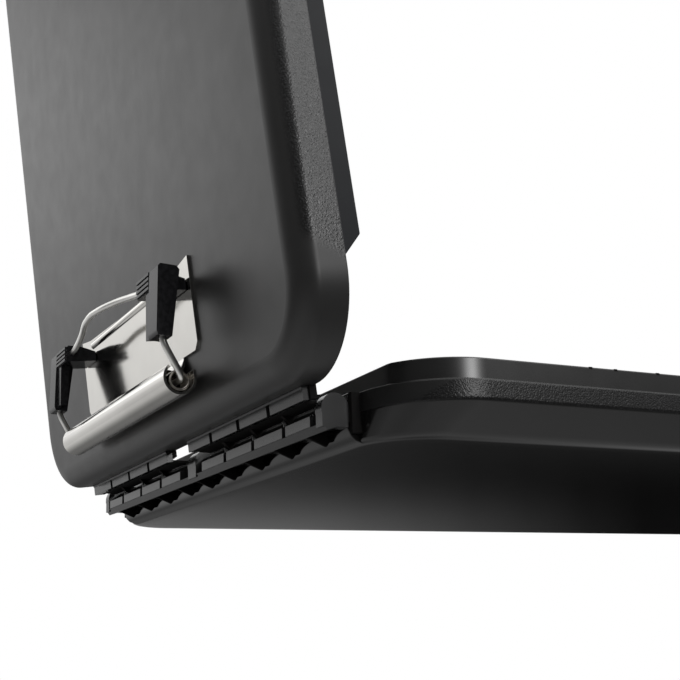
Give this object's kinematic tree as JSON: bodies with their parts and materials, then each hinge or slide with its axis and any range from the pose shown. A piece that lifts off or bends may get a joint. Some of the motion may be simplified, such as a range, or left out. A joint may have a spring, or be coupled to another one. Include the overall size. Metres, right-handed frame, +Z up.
{
  "type": "storage clipboard box",
  "caption": "Slim clipboard storage box: a shallow tray with a rod-hinged hollow lid that carries a sprung wire paper clip.",
  "frame": {"origin": "centre of the tray's flat bottom face", "axes": "+Z up, the hinge along X with the near end at +X, the tray reaching towards +Y from the hinge"},
  "size_m": [0.24, 0.3981, 0.3457],
  "materials": {
    "tray_plastic": "satin moulded plastic with a fine pebbled band",
    "lid_plastic": "satin moulded plastic with a fine pebbled band",
    "rod_plastic": "satin",
    "plated_sheet": "bright nickel plating",
    "plated_wire": "bright nickel plating",
    "spring_steel": "bright spring wire",
    "grip_plastic": "glossy black"
  },
  "bodies": {
    "tray_body": {"tray": "tray_plastic", "hinge_rod_near": "rod_plastic", "hinge_rod_far": "rod_plastic"},
    "lid_body": {"lid": "lid_plastic", "clip_plate": "plated_sheet", "bail_spring_near": "spring_steel", "bail_spring_far": "spring_steel"},
    "bail_body": {"bail_wire": "plated_wire", "bail_grip_near": "grip_plastic", "bail_grip_far": "grip_plastic"}
  },
  "joints": [
    {"name": "lid_hinge", "type": "hinge", "parent": "tray_body", "child": "lid_body", "pos_m": [0, -0.16545, 0.0093], "axis": [1, 0, 0], "range_deg": [-97, 0]},
    {"name": "bail_pivot", "type": "hinge", "parent": "lid_body", "child": "bail_body", "pos_m": [0, -0.19269, 0.02399], "axis": [1, 0, 0], "range_deg": [0, 80], "stiffness_Nm_per_rad": 0.15, "springref_deg": -68.75}
  ]
}
